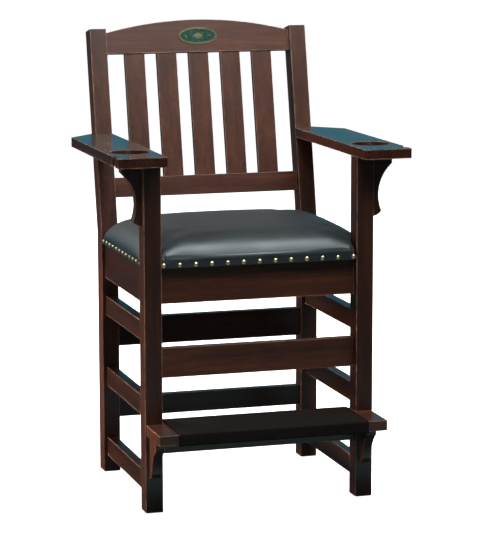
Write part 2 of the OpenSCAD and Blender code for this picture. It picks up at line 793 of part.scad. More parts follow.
// Corner blocks under the seat: the rail's face and the leg's face set their place
block_x = side_rail_x - fit_gap;
block_z = seat_z - block_h;
block_screw_z = block_z + block_h / 2;
block_cover = 14;
block_screw_l = block_cover + screw_bite;
module block_outline(rail_y, leg_y, way) {
    cx = inner_x - fit_gap;
    ry = rail_y + way * fit_gap;
    ly = leg_y + way * fit_gap;
    polygon([
        [cx - block_l, ry], [cx, ry], [cx, ly], [block_x, ly], [block_x, ly + way * block_l]
    ]);
}
module front_block_plan() {
    block_outline(front_rail_y + cross_t, max(front_leg_d, front_rail_y + cross_t), 1);
}
module rear_block_plan() {
    block_outline(rear_rail_y, min(knee_y, rear_rail_y), -1);
}

// Where the blocks' screws go: out through the block into the rail beside it
block_front_y = front_rail_y + cross_t + block_cover;
block_rear_y = rear_rail_y - block_cover;
block_side_x = block_x - block_cover;
block_across_share = 0.42;
block_along_share = 0.5;
block_across = inner_x - block_l * block_across_share;
block_along = block_l * block_along_share;
module right_block_screws() {
    translate([block_across, block_front_y, block_screw_z]) rotate([-90, 0, 0]) children();
    translate([block_across, block_rear_y, block_screw_z]) rotate([90, 0, 0]) children();
    translate([block_side_x, front_leg_d + block_along, block_screw_z]) rotate([0, -90, 0]) children();
    translate([block_side_x, knee_y - block_along, block_screw_z]) rotate([0, -90, 0]) children();
}
module block_screws() {
    right_block_screws() children();
    left() right_block_screws() children();
}
module screw_hole() { screw_bore(block_screw_l); }
module corner_block(front) {
    color(raw_wood_colour) on_floor() difference() {
        translate([0, 0, block_z]) linear_extrude(block_h) {
            if (front) front_block_plan();
            else rear_block_plan();
        }
        block_screws() screw_hole();
        at_seat_screws() seat_screw_hole();
    }
}
module corner_block_screws() {
    color(steel_colour) on_floor() block_screws() screw(block_screw_l);
}

// Seat screws: up through each corner block into the seat board
seat_screw_in = 8;
seat_screw_off = 9;
seat_screw_x = inner_x - seat_screw_in;
seat_screw_y = [front_leg_d + seat_screw_off, knee_y - seat_screw_off];
seat_screw_sink = 8;
seat_screw_l = block_h - seat_screw_sink + screw_bite;
module at_seat_screws() {
    for (y = seat_screw_y)
        for (x = [-seat_screw_x, seat_screw_x])
            translate([x, y, block_z + seat_screw_sink]) rotate([180, 0, 0]) children();
}
module seat_screw_hole() { screw_bore(seat_screw_l); }
module seat_screws() { color(steel_colour) on_floor() at_seat_screws() screw(seat_screw_l); }

// Footrest screws: down through the board, under its cover, into the stretcher
foot_screw_l = foot_t + 2 * screw_bite;
foot_screw_step = cover_w * 0.36;
module at_foot_screws() {
    for (i = [-1:1])
        translate([i * foot_screw_step, front_rail_y + cross_t / 2, foot_top_z]) children();
}
module foot_screw_hole() { screw_bore(foot_screw_l); }
module footrest_screws() { color(steel_colour) on_floor() at_foot_screws() screw(foot_screw_l); }

// Dowels and glides of both sides
module both_sides() {
    children();
    left() children();
}
module arm_dowels() { color(raw_wood_colour) on_floor() both_sides() at_arm_dowels() dowel(); }
module corbel_dowels() { color(raw_wood_colour) on_floor() both_sides() at_corbel_dowels() dowel(); }
module bracket_dowels() { color(raw_wood_colour) on_floor() both_sides() at_bracket_dowels() dowel(); }
module foot_glides() {
    color(glide_colour) on_floor() both_sides() {
        translate([leg_mid_x, leg_mid_y, 0]) glide();
        translate([leg_mid_x, knee_y + rear_post_d / 2, 0]) glide();
    }
}

// Medallion: a plain oval with a raised rim, a lozenge and two dots
function oval(w, h, n = 72) = [for (i = [0:n - 1]) [w / 2 * cos(i * 360 / n), h / 2 * sin(i * 360 / n)]];
module on_crest_face() {
    in_back() translate([0, back_y, medal_s]) rotate([90, 0, 0]) children();
}
module medal_marks(grow) {
    polygon([
        [-lozenge_long - grow, 0], [0, lozenge_r + grow], [lozenge_long + grow, 0], [0, -lozenge_r - grow]
    ]);
    for (side = [-1, 1])
        translate([side * medal_dot_x, 0]) circle(r = medal_dot_r + grow, $fn = 32);
}

// The plate's two pins: they start inside the plate, and their holes are wider by gap and deeper by past
pin_root = 1;
module medal_pins(gap, past) {
    for (side = [-1, 1])
        translate([side * medal_pin_x, back_y - pin_root, medal_s]) rotate([-90, 0, 0])
            cylinder(d = medal_pin_d + 2 * gap, h = pin_root + medal_pin_l + past);
}
module medallion_plate() {
    color(brass_colour) on_floor() {
        on_crest_face() {
            linear_extrude(medal_t - enamel_t) polygon(oval(medal_w, medal_h));
            linear_extrude(medal_t) difference() {
                polygon(oval(medal_w, medal_h));
                polygon(oval(medal_w - 2 * medal_rim, medal_h - 2 * medal_rim));
            }
            linear_extrude(medal_t) medal_marks(0);
        }
        in_back() medal_pins(0, 0);
    }
}
module medallion_enamel() {
    gap = wrap_gap / 2;
    color(enamel_colour) on_floor() on_crest_face()
        translate([0, 0, medal_t - enamel_t]) linear_extrude(enamel_fill) difference() {
            polygon(oval(medal_w - 2 * medal_rim - 2 * gap, medal_h - 2 * medal_rim - 2 * gap));
            medal_marks(gap);
        }
}

left() front_leg();  // front_leg_left
front_leg();  // front_leg_right
left() rear_post();  // rear_post_left
rear_post();  // rear_post_right
front_seat_rail();
rear_seat_rail();
left() side_seat_rail();  // side_seat_rail_left
side_seat_rail();  // side_seat_rail_right
front_bar(front_levels[1]);  // front_stretcher
footrest_stretcher();
rear_bar(front_levels[1]);  // rear_stretcher_upper
rear_bar(front_levels[2]);  // rear_stretcher_lower
left() side_stretcher(side_levels[1]);  // side_stretcher_left_lower
left() side_stretcher(side_levels[2]);  // side_stretcher_left_middle
left() side_stretcher(side_levels[3]);  // side_stretcher_left_upper
side_stretcher(side_levels[1]);  // side_stretcher_right_lower
side_stretcher(side_levels[2]);  // side_stretcher_right_middle
side_stretcher(side_levels[3]);  // side_stretcher_right_upper
crest_rail();
lower_back_rail();
back_slat(0);  // back_slat_1
back_slat(1);  // back_slat_2
back_slat(2);  // back_slat_3
back_slat(3);  // back_slat_4
back_slat(4);  // back_slat_5
left() armrest();  // armrest_left
armrest();  // armrest_right
left() arm_corbel();  // arm_corbel_left
arm_corbel();  // arm_corbel_right
footrest_board();
footrest_cover();
left() footrest_bracket();  // footrest_bracket_left
footrest_bracket();  // footrest_bracket_right
seat_board();
seat_foam();
seat_leather();
nails_front();
left() nails_right();  // nails_left
nails_right();
left() corner_block(true);  // corner_block_front_left
corner_block(true);  // corner_block_front_right
left() corner_block(false);  // corner_block_rear_left
corner_block(false);  // corner_block_rear_right
corner_block_screws();
seat_screws();
footrest_screws();
arm_dowels();
corbel_dowels();
bracket_dowels();
medallion_plate();
medallion_enamel();
foot_glides();
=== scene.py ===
import math

import bpy
from mathutils import Matrix, Vector


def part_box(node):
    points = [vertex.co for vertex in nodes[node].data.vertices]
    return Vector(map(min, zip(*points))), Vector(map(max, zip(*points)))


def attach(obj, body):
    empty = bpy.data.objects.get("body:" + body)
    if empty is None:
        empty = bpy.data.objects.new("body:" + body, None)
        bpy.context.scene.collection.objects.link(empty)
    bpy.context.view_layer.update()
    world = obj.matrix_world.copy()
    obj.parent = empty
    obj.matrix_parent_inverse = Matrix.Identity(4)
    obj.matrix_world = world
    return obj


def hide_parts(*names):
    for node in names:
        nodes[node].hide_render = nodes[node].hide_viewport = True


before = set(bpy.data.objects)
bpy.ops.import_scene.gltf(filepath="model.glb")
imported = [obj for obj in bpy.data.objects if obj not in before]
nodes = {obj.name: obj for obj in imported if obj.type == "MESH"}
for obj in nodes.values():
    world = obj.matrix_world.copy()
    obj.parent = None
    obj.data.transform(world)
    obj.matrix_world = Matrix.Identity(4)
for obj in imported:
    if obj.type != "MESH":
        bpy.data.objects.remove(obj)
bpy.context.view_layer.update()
mm = 0.001

# The camera was solved in a frame whose y starts at the front legs' front faces
solve_shift_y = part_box("front_leg_right")[0].y
photo_height = 533
focal_pixels = 2354.6
camera_turn = math.radians(-16.80)
camera_rise = math.radians(9.32)
camera_roll = math.radians(-0.106)
camera_distance = 6.1823
aim = Vector((0, 0.2 + solve_shift_y, 0.594))
aim_slide = 0.0086
sensor_height = 36
farthest_seen = 60


def place_camera():
    back = Vector((
        math.sin(camera_turn) * math.cos(camera_rise),
        -math.cos(camera_turn) * math.cos(camera_rise),
        math.sin(camera_rise),
    ))
    level = Vector((math.cos(camera_turn), math.sin(camera_turn), 0))
    over = back.cross(level)
    right = level * math.cos(camera_roll) + over * math.sin(camera_roll)
    up = over * math.cos(camera_roll) - level * math.sin(camera_roll)
    place = aim + right * aim_slide + back * camera_distance
    lens = bpy.data.cameras.new("camera")
    lens.sensor_fit = "VERTICAL"
    lens.sensor_height = sensor_height
    lens.lens = focal_pixels / photo_height * sensor_height
    lens.clip_end = farthest_seen
    camera = bpy.data.objects.new("camera", lens)
    bpy.context.collection.objects.link(camera)
    turn = Matrix((right, up, back)).transposed().to_4x4()
    camera.matrix_world = Matrix.Translation(place) @ turn
    bpy.context.scene.camera = camera


place_camera()


# Materials: small helpers for the nodes that the finishes share
def new_finish(name):
    finish = bpy.data.materials.new(name)
    finish.use_nodes = True
    tree = finish.node_tree
    shader = tree.nodes["Principled BSDF"]
    return finish, tree, shader


def pattern_space(tree, scale=(1, 1, 1), turn=(0, 0, 0)):
    place = tree.nodes.new("ShaderNodeTexCoord")
    mapping = tree.nodes.new("ShaderNodeMapping")
    mapping.inputs["Scale"].default_value = scale
    mapping.inputs["Rotation"].default_value = turn
    tree.links.new(place.outputs["Object"], mapping.inputs["Vector"])
    return mapping.outputs["Vector"]


def noise_at(tree, space, scale, detail=4, roughness=0.55, distortion=0.0):
    texture = tree.nodes.new("ShaderNodeTexNoise")
    texture.inputs["Scale"].default_value = scale
    texture.inputs["Detail"].default_value = detail
    texture.inputs["Roughness"].default_value = roughness
    texture.inputs["Distortion"].default_value = distortion
    tree.links.new(space, texture.inputs["Vector"])
    return texture.outputs["Fac"]


def cells_at(tree, space, scale, smoothness=None):
    cells = tree.nodes.new("ShaderNodeTexVoronoi")
    if smoothness is not None:
        cells.feature = "SMOOTH_F1"
        cells.inputs["Smoothness"].default_value = smoothness
    cells.inputs["Scale"].default_value = scale
    tree.links.new(space, cells.inputs["Vector"])
    return cells.outputs["Distance"]


def ramp(tree, value, stops):
    band = tree.nodes.new("ShaderNodeValToRGB")
    while len(band.color_ramp.elements) < len(stops):
        band.color_ramp.elements.new(0.5)
    for element, (place, colour) in zip(band.color_ramp.elements, stops):
        element.position = place
        element.color = (*colour, 1)
    tree.links.new(value, band.inputs["Fac"])
    return band.outputs["Color"]


def grey(level):
    return (level, level, level)


# The sockets of a colour mix: its factor, the colour under and the colour over
mix_factor, mix_under, mix_over, mix_result = 0, 6, 7, 2


def mix_colour(tree, factor, under, over, blend="MIX"):
    mix = tree.nodes.new("ShaderNodeMix")
    mix.data_type = "RGBA"
    mix.blend_type = blend
    for socket, value in ((mix_factor, factor), (mix_under, under), (mix_over, over)):
        if isinstance(value, (int, float)):
            mix.inputs[socket].default_value = value
        elif isinstance(value, tuple):
            mix.inputs[socket].default_value = (*value, 1)
        else:
            tree.links.new(value, mix.inputs[socket])
    return mix.outputs[mix_result]


# Multiplies a colour by greys. Each stop is a mark on the value and the grey there.
def shade_by(tree, colour, amount, value, *stops):
    greys = ramp(tree, value, [(mark, grey(level)) for mark, level in stops])
    return mix_colour(tree, amount, colour, greys, "MULTIPLY")


def spread_to(tree, value, low, high, from_low=0.0, from_high=1.0):
    turn = tree.nodes.new("ShaderNodeMapRange")
    turn.inputs["From Min"].default_value = from_low
    turn.inputs["From Max"].default_value = from_high
    turn.inputs["To Min"].default_value = low
    turn.inputs["To Max"].default_value = high
    tree.links.new(value, turn.inputs["Value"])
    return turn.outputs["Result"]


def bump(tree, shader, height, strength, distance):
    relief = tree.nodes.new("ShaderNodeBump")
    relief.inputs["Strength"].default_value = strength
    relief.inputs["Distance"].default_value = distance
    tree.links.new(height, relief.inputs["Height"])
    tree.links.new(relief.outputs["Normal"], shader.inputs["Normal"])


# Where an outer edge is near, the stain goes toward bare wood. This is partly stain rubbed thin by
# handling, and partly a painted highlight along the rounded edges.
rub_and_highlight_reach = 3.5 * mm
rub_and_highlight_samples = 8
rub_and_highlight_full = (0.36, grey(0.9))
rub_and_highlight_none = (0.88, grey(0.0))


def edge_rub_and_highlight(tree):
    near = tree.nodes.new("ShaderNodeAmbientOcclusion")
    near.inside = True
    near.only_local = True
    near.samples = rub_and_highlight_samples
    near.inputs["Distance"].default_value = rub_and_highlight_reach
    return ramp(tree, near.outputs["AO"], [rub_and_highlight_full, rub_and_highlight_none])


# Stained hardwood under satin lacquer, with its grain along one axis of the chair.
# The pattern scales are in repeats per metre, and the grain stretches them along itself.
grain_stretch = 0.055
band_scale = 26
fleck_scale = 110
line_scale = 240
pore_scale = 900
cloud_scale = 7
patch_scale = 38
stain_bands = [
    (0.30, (0.049, 0.0142, 0.0062)),
    (0.52, (0.090, 0.0262, 0.0112)),
    (0.72, (0.136, 0.0425, 0.0190)),
]
# The colour of stain rubbed through to bare wood. It is also the colour of the painted highlight
# along the edges.
bare_wood_and_highlight = (0.56, 0.34, 0.25)
gloss_below, gloss_above = 0.04, 0.10


def stained_wood(name, along, lean=0.0, painted_shade_level=1.0, gloss=0.36):
    finish, tree, shader = new_finish(name)
    scale = [1.0, 1.0, 1.0]
    scale["xyz".index(along)] = grain_stretch
    streaks = pattern_space(tree, scale, turn=(lean, 0, 0))
    wide = noise_at(tree, streaks, band_scale, detail=5, roughness=0.6, distortion=0.5)
    fine = noise_at(tree, streaks, line_scale, detail=4, roughness=0.6, distortion=0.2)
    flecks = noise_at(tree, streaks, fleck_scale, detail=3, roughness=0.65, distortion=0.3)
    pores = noise_at(tree, streaks, pore_scale, detail=2, roughness=0.5)
    clouds = noise_at(tree, pattern_space(tree), cloud_scale, detail=3, roughness=0.5)
    patchy = noise_at(tree, pattern_space(tree), patch_scale, detail=4, roughness=0.6)
    # The stain's bands are scaled by painted_shade_level. This is painted shade: it makes a part's
    # copy of the one stain darker where less light falls on that part.
    stain = ramp(tree, wide, [
        (mark, tuple(painted_shade_level * part for part in colour)) for mark, colour in stain_bands
    ])
    stain = shade_by(tree, stain, 0.6, fine, (0.38, 0.55), (0.62, 1.0))
    stain = shade_by(tree, stain, 0.5, flecks, (0.38, 0.62), (0.62, 1.12))
    stain = shade_by(tree, stain, 0.35, clouds, (0.35, 0.6), (0.65, 1.0))
    specks = ramp(tree, pores, [(0.36, grey(0.25)), (0.44, grey(1.0))])
    stain = mix_colour(tree, 0.5, stain, specks, "MULTIPLY")
    # Bare wood at the edges, broken up by patches: rubbed wear and a painted edge highlight
    # together.
    rub_and_highlight = shade_by(tree, edge_rub_and_highlight(tree), 1.0, patchy, (0.36, 0.25), (0.6, 1.0))
    stain = mix_colour(tree, rub_and_highlight, stain, bare_wood_and_highlight)
    tree.links.new(stain, shader.inputs["Base Color"])
    roughness = spread_to(tree, fine, gloss - gloss_below, gloss + gloss_above)
    tree.links.new(roughness, shader.inputs["Roughness"])
    shader.inputs["Specular IOR Level"].default_value = 0.42
    shader.inputs["Coat Weight"].default_value = 0.18
    shader.inputs["Coat Roughness"].default_value = 0.2
    bump(tree, shader, specks, strength=0.12, distance=0.2 * mm)
    return finish


# Plain wood of the hidden pieces: the board, the blocks and the dowels
def plain_wood(name):
    finish, tree, shader = new_finish(name)
    streaks = pattern_space(tree, (1, 0.06, 1))
    wide = noise_at(tree, streaks, 40, detail=5, roughness=0.6, distortion=0.6)
    fine = noise_at(tree, streaks, 420, detail=3, roughness=0.6)
    pale = ramp(tree, wide, [(0.3, (0.30, 0.18, 0.09)), (0.7, (0.50, 0.34, 0.19))])
    pale = shade_by(tree, pale, 0.5, fine, (0.35, 0.7), (0.6, 1.0))
    tree.links.new(pale, shader.inputs["Base Color"])
    tree.links.new(spread_to(tree, fine, 0.55, 0.75), shader.inputs["Roughness"])
    bump(tree, shader, fine, strength=0.2, distance=0.2 * mm)
    return finish


# Satin leather: a fine pebble grain, and cloudy patches that are a little shinier
def seat_leather_finish():
    finish, tree, shader = new_finish("charcoal_leather")
    space = pattern_space(tree)
    pebbles = cells_at(tree, space, 620, smoothness=0.7)
    clouds = noise_at(tree, space, 9)
    fine = noise_at(tree, space, 1500, detail=3, roughness=0.6)
    tint = ramp(tree, clouds, [
        (0.3, (0.0070, 0.0088, 0.0102)), (0.7, (0.0130, 0.0155, 0.0178)),
    ])
    tint = shade_by(tree, tint, 0.3, pebbles, (0.0, 1.0), (0.7, 0.55))
    tree.links.new(tint, shader.inputs["Base Color"])
    roughness = spread_to(tree, clouds, 0.43, 0.53, from_low=0.3, from_high=0.7)
    tree.links.new(roughness, shader.inputs["Roughness"])
    shader.inputs["Specular Tint"].default_value = (0.80, 0.94, 1.0, 1)
    shader.inputs["Specular IOR Level"].default_value = 0.8
    shader.inputs["Sheen Weight"].default_value = 0.03
    shader.inputs["Sheen Roughness"].default_value = 0.5
    relief = mix_colour(tree, 0.35, pebbles, fine)
    bump(tree, shader, relief, strength=0.16, distance=0.3 * mm)
    return finish


# Rough dark cover of the footrest
def footrest_cover_finish():
    finish, tree, shader = new_finish("footrest_cover_weave")
    space = pattern_space(tree)
    threads = cells_at(tree, space, 520)
    clouds = noise_at(tree, space, 30, detail=4, roughness=0.6)
    tint = ramp(tree, clouds, [
        (0.3, (0.0060, 0.0034, 0.0022)), (0.7, (0.0115, 0.0068, 0.0046)),
    ])
    tint = shade_by(tree, tint, 0.6, threads, (0.05, 1.0), (0.6, 0.45))
    tree.links.new(tint, shader.inputs["Base Color"])
    tree.links.new(spread_to(tree, clouds, 0.72, 0.9), shader.inputs["Roughness"])
    shader.inputs["Specular IOR Level"].default_value = 0.16
    bump(tree, shader, threads, strength=0.5, distance=0.6 * mm)
    return finish


def brass_finish(name, dull, clean):
    finish, tree, shader = new_finish(name)
    tarnish = noise_at(tree, pattern_space(tree), 160, detail=4, roughness=0.6)
    tree.links.new(ramp(tree, tarnish, [(0.3, dull), (0.7, clean)]), shader.inputs["Base Color"])
    shader.inputs["Metallic"].default_value = 1
    tree.links.new(spread_to(tree, tarnish, 0.28, 0.42), shader.inputs["Roughness"])
    bump(tree, shader, tarnish, strength=0.08, distance=0.2 * mm)
    return finish


# A finish that goes between two colours, as marked on the noise, and two roughnesses
def mottled_finish(name, scale, dark, light, smooth, rough, marks=(0.3, 0.7), metal=0, coat=0):
    finish, tree, shader = new_finish(name)
    mottle = noise_at(tree, pattern_space(tree), scale, detail=3, roughness=0.6)
    tint = ramp(tree, mottle, list(zip(marks, (dark, light))))
    tree.links.new(tint, shader.inputs["Base Color"])
    tree.links.new(spread_to(tree, mottle, smooth, rough), shader.inputs["Roughness"])
    shader.inputs["Metallic"].default_value = metal
    shader.inputs["Coat Weight"].default_value = coat
    return finish


back_lean = math.radians(-12)
# One stain for the whole chair. The copies differ in the grain's direction, and in a level that
# darkens the stain as painted shade. The slats, back rails and rails across stay near full. The
# posts and footrest board are a little darker. The legs, arms, rear stretcher and side rails are
# much darker.
wood_upright = stained_wood("wood_grain_upright", "z", painted_shade_level=0.8)
wood_legs = stained_wood("wood_grain_legs", "z", painted_shade_level=0.52)
wood_across = stained_wood("wood_grain_across", "x", painted_shade_level=0.95)
wood_rear = stained_wood("wood_grain_rear", "x", painted_shade_level=0.4)
wood_foot = stained_wood("wood_grain_foot", "x", painted_shade_level=0.72)
wood_deep = stained_wood("wood_grain_front_to_back", "y", painted_shade_level=0.34)
wood_back_slats = stained_wood("wood_grain_slats", "z", back_lean)
wood_back_rails = stained_wood("wood_grain_back_rails", "x", back_lean)
wood_arms = stained_wood("wood_grain_arms", "y", painted_shade_level=0.5, gloss=0.22)
pale_wood = plain_wood("pale_wood")
leather = seat_leather_finish()
cover = footrest_cover_finish()
brass = brass_finish("nail_brass", (0.50, 0.37, 0.19), (0.86, 0.72, 0.46))
old_brass = brass_finish("medallion_brass", (0.07, 0.08, 0.045), (0.20, 0.21, 0.13))
zinc = mottled_finish("screw_zinc", 300, grey(0.38), grey(0.56), 0.3, 0.5, metal=1)
enamel = mottled_finish(
    "green_enamel", 190, (0.001, 0.016, 0.010), (0.004, 0.085, 0.046), 0.2, 0.32,
    marks=(0.35, 0.65), coat=0.6,
)
glide = mottled_finish("glide_dark", 220, grey(0.02), grey(0.045), 0.4, 0.6)
foam = mottled_finish("seat_foam_cells", 700, (0.5, 0.45, 0.3), (0.72, 0.66, 0.5), 0.8, 0.95)

# Each piece takes the finish of the longest of these names that its own name starts with
finish_of = {
    "front_leg": wood_legs,
    "rear_post": wood_upright,
    "arm_corbel": wood_legs,
    "footrest_bracket": wood_upright,
    "front_seat_rail": wood_across,
    "rear_seat_rail": wood_across,
    "front_stretcher": wood_across,
    "footrest_stretcher": wood_across,
    "rear_stretcher": wood_rear,
    "footrest_board": wood_foot,
    "side_seat_rail": wood_deep,
    "side_stretcher": wood_deep,
    "crest_rail": wood_back_rails,
    "lower_back_rail": wood_back_rails,
    "back_slat": wood_back_slats,
    "armrest": wood_arms,
    "corner_block_screws": zinc,
    "corner_block": pale_wood,
    "seat_board": pale_wood,
    "arm_dowels": pale_wood,
    "corbel_dowels": pale_wood,
    "bracket_dowels": pale_wood,
    "seat_screws": zinc,
    "footrest_screws": zinc,
    "footrest_cover": cover,
    "seat_leather": leather,
    "seat_foam": foam,
    "nails": brass,
    "medallion_plate": old_brass,
    "medallion_enamel": enamel,
    "foot_glides": glide,
}
for name, piece in nodes.items():
    start = max((key for key in finish_of if name.startswith(key)), key=len)
    for socket in piece.material_slots:
        socket.material = finish_of[start]


def dress(piece, finish):
    piece.data.materials.clear()
    piece.data.materials.append(finish)


# Eased edges, with their radii in millimetres: the mesh's triangles are joined first,
# then the sharp edges are rounded over
edge_radius = {
    "front_leg": 2.6,
    "rear_post": 2.6,
    "armrest": 3.0,
    "arm_corbel": 1.6,
    "footrest_bracket": 1.6,
    "front_seat_rail": 1.2,
    "rear_seat_rail": 1.2,
    "front_stretcher": 1.6,
    "footrest_stretcher": 1.6,
    "rear_stretcher": 1.6,
    "side_seat_rail": 1.2,
    "side_stretcher": 1.6,
    "footrest_board": 2.2,
    "crest_rail": 1.8,
    "lower_back_rail": 1.8,
    "back_slat": 1.8,
    "medallion_plate": 0.3,
    "footrest_cover": 0.7,
}
join_distance = 0.01 * mm
ease_steps = 3
sharp_from = math.radians(40)


def ease_edges(piece, radius):
    join = piece.modifiers.new("join", "WELD")
    join.merge_threshold = join_distance
    ease = piece.modifiers.new("ease", "BEVEL")
    ease.width = radius
    ease.segments = ease_steps
    ease.limit_method = "ANGLE"
    ease.angle_limit = sharp_from
    ease.use_clamp_overlap = True
    ease.harden_normals = True


for name, piece in nodes.items():
    for key, radius in edge_radius.items():
        if name.startswith(key):
            ease_edges(piece, radius * mm)


def choose(piece):
    bpy.ops.object.select_all(action="DESELECT")
    piece.select_set(True)
    bpy.context.view_layer.objects.active = piece


def apply_all(piece):
    choose(piece)
    for modifier in list(piece.modifiers):
        bpy.ops.object.modifier_apply(modifier=modifier.name)


# Seat cushion: the foam's form let out to the leather's outside, and blown up a little
leather_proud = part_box("seat_leather")[1].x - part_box("seat_foam")[1].x
board_low, board_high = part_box("seat_board")
skirt_top = board_high.z + 2 * mm
spare_below = 9 * mm
cell_size = 6 * mm
down_facing = -0.99
recess_gap = 0.3 * mm

# The corners cut out for the legs and posts, and the room that the leather leaves them
leg_gap = 0.6 * mm
leg_clear = 0.5 * mm
post_depth = 60 * mm
cut_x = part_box("front_leg_right")[0].x - leg_gap - leather_proud
cut_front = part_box("front_leg_right")[1].y + leg_gap + leather_proud
cut_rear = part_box("rear_post_right")[0].y - leg_gap - leather_proud
cut_middle = (cut_front + cut_rear) / 2
cut_half = (cut_rear - cut_front) / 2

# Cloth: the skirt is held, a band over it is partly held, and the swelling has a cap
cloth_pressure = 4
cloth_frames = 20
cloth_quality = 5
cloth_mass = 0.4
stretch_stiffness = 30
shear_stiffness = 20
bend_stiffness = 4
part_held_h = 8 * mm
part_held = 0.3
swell_cap = 3.5 * mm

# The crown: smoothing fades in over the skirt, the shoulders are fuller and the middle is flatter
smooth_rounds = 34
smooth_factor = 0.5
smooth_from = 4 * mm
smooth_fade = 14 * mm
crown_from = 10 * mm
shoulder_at = 0.86
shoulder_w = 0.22
shoulder_lift = 3.0 * mm
middle_w = 0.5
middle_drop = 1.5 * mm

# One pleat beside each front leg, from the nails up
pleat_in = 9 * mm
pleat_w = 3.2 * mm
pleat_h = 30 * mm
pleat_depth = 2.2 * mm
front_facing = -0.6


def clamp(value, low, high):
    return min(max(value, low), high)


def legs_around():
    spans = []
    for name in ("front_leg_left", "front_leg_right", "rear_post_left", "rear_post_right"):
        low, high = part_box(name)
        back = low.y + post_depth if name.startswith("rear") else high.y
        spans.append((low.x, high.x, low.y, back))
    return spans


# A point inside a leg's or post's room moves to the nearer side of it
def keep_clear(place, spans):
    for low_x, high_x, low_y, high_y in spans:
        inside_x = low_x - leg_clear < place.x < high_x + leg_clear
        inside_y = low_y - leg_clear < place.y < high_y + leg_clear
        if inside_x and inside_y:
            side_x = high_x + leg_clear if low_x < 0 else low_x - leg_clear
            side_y = low_y - leg_clear if low_y > 0 else high_y + leg_clear
            if abs(side_x - place.x) < abs(side_y - place.y):
                place.x = side_x
            else:
                place.y = side_y
    return place


# The outline moves out by a distance, and so do the walls of the corners cut out for the legs
def let_out(vertices, distance):
    for vertex in vertices:
        share_x = clamp(vertex.co.x / cut_x, -1, 1)
        share_y = clamp((vertex.co.y - cut_middle) / cut_half, -1, 1)
        vertex.co.x += share_x * distance
        vertex.co.y += share_y * distance
        if distance > 0 and vertex.co.z > board_high.z + mm:
            vertex.co.z += distance


def make_cushion():
    form = bpy.data.objects.new("seat_cushion", nodes["seat_foam"].data.copy())
    bpy.context.collection.objects.link(form)
    choose(form)
    bpy.context.tool_settings.mesh_select_mode = (False, False, True)
    bpy.ops.object.mode_set(mode="EDIT")
    bpy.ops.mesh.select_all(action="SELECT")
    bpy.ops.mesh.remove_doubles(threshold=join_distance)
    bpy.ops.mesh.customdata_custom_splitnormals_clear()
    bpy.ops.mesh.select_all(action="DESELECT")
    bpy.ops.object.mode_set(mode="OBJECT")
    for face in form.data.polygons:
        face.select = face.normal.z < down_facing and face.center.z < board_high.z + mm
    bpy.ops.object.mode_set(mode="EDIT")
    bpy.ops.mesh.extrude_region_move(
        TRANSFORM_OT_translate={"value": (0, 0, board_low.z - board_high.z - spare_below)}
    )
    bpy.ops.object.mode_set(mode="OBJECT")
    let_out(form.data.vertices, leather_proud)
    dress(form, leather)
    remesh = form.modifiers.new("cells", "REMESH")
    remesh.mode = "VOXEL"
    remesh.voxel_size = cell_size
    apply_all(form)
    blow_up(form)
    stretch_smooth(form)
    draw_in(form)
    carve_board_recess(form)
    bpy.ops.object.shade_smooth()
    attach(form, "root")
    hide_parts("seat_leather", "seat_foam")


# The cloth swells under pressure, and each point keeps as much of its move as the cap lets it
def blow_up(form):
    start = [v.co.copy() for v in form.data.vertices]
    held = form.vertex_groups.new(name="held")
    for vertex in form.data.vertices:
        if vertex.co.z < skirt_top:
            held.add([vertex.index], 1.0, "REPLACE")
        elif vertex.co.z < skirt_top + part_held_h:
            held.add([vertex.index], part_held, "REPLACE")
    cloth = form.modifiers.new("Cloth", "CLOTH")
    cloth.settings.quality = cloth_quality
    cloth.settings.mass = cloth_mass
    cloth.settings.tension_stiffness = stretch_stiffness
    cloth.settings.compression_stiffness = stretch_stiffness
    cloth.settings.shear_stiffness = shear_stiffness
    cloth.settings.bending_stiffness = bend_stiffness
    cloth.settings.use_pressure = True
    cloth.settings.uniform_pressure_force = cloth_pressure
    cloth.settings.vertex_group_mass = "held"
    cloth.settings.effector_weights.gravity = 0
    cloth.point_cache.frame_start = 1
    cloth.point_cache.frame_end = cloth_frames
    scene = bpy.context.scene
    for step in range(1, cloth_frames + 1):
        scene.frame_set(step)
    blown = form.evaluated_get(bpy.context.evaluated_depsgraph_get())
    ends = [v.co.copy() for v in blown.data.vertices]
    form.modifiers.remove(cloth)
    scene.frame_set(1)
    spans = legs_around()
    for vertex, begin, end in zip(form.data.vertices, start, ends):
        move = end - begin
        if move.length > swell_cap:
            move = move.normalized() * swell_cap
        vertex.co = keep_clear(begin + move, spans)
    form.vertex_groups.clear()


# Pulled leather lies smooth over the foam: the top is evened out, the skirt stays
def stretch_smooth(form):
    top = form.vertex_groups.new(name="top")
    for vertex in form.data.vertices:
        weight = clamp((vertex.co.z - skirt_top - smooth_from) / smooth_fade, 0, 1)
        if weight > 0:
            top.add([vertex.index], weight, "REPLACE")
    even = form.modifiers.new("even", "SMOOTH")
    even.factor = smooth_factor
    even.iterations = smooth_rounds
    even.vertex_group = "top"
    finer = form.modifiers.new("finer", "SUBSURF")
    finer.levels = finer.render_levels = 1
    apply_all(form)
    form.vertex_groups.clear()


# Pleats and crown, with the legs and posts kept clear. The facings are read before any point
# moves, because each move makes Blender work all of them out again.
def draw_in(form):
    spans = legs_around()
    front_low, front_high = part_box("nails_front")
    nail_z = (front_low.z + front_high.z) / 2
    pleat_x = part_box("front_leg_right")[0].x - pleat_in
    facings = [vertex.normal.copy() for vertex in form.data.vertices]
    for vertex, facing in zip(form.data.vertices, facings):
        place = vertex.co.copy()
        if facing.y < front_facing:
            beside = (abs(place.x) - pleat_x) / pleat_w
            height = clamp((place.z - nail_z) / pleat_h, 0, 1)
            place.y += pleat_depth * math.exp(-beside * beside) * math.sin(height * math.pi)
        if place.z > skirt_top + crown_from:
            side = abs(place.x) / cut_x
            fuller = math.exp(-((side - shoulder_at) / shoulder_w) ** 2)
            lower = math.exp(-((side / middle_w) ** 2))
            place.z += shoulder_lift * fuller - middle_drop * lower
        vertex.co = keep_clear(place, spans)


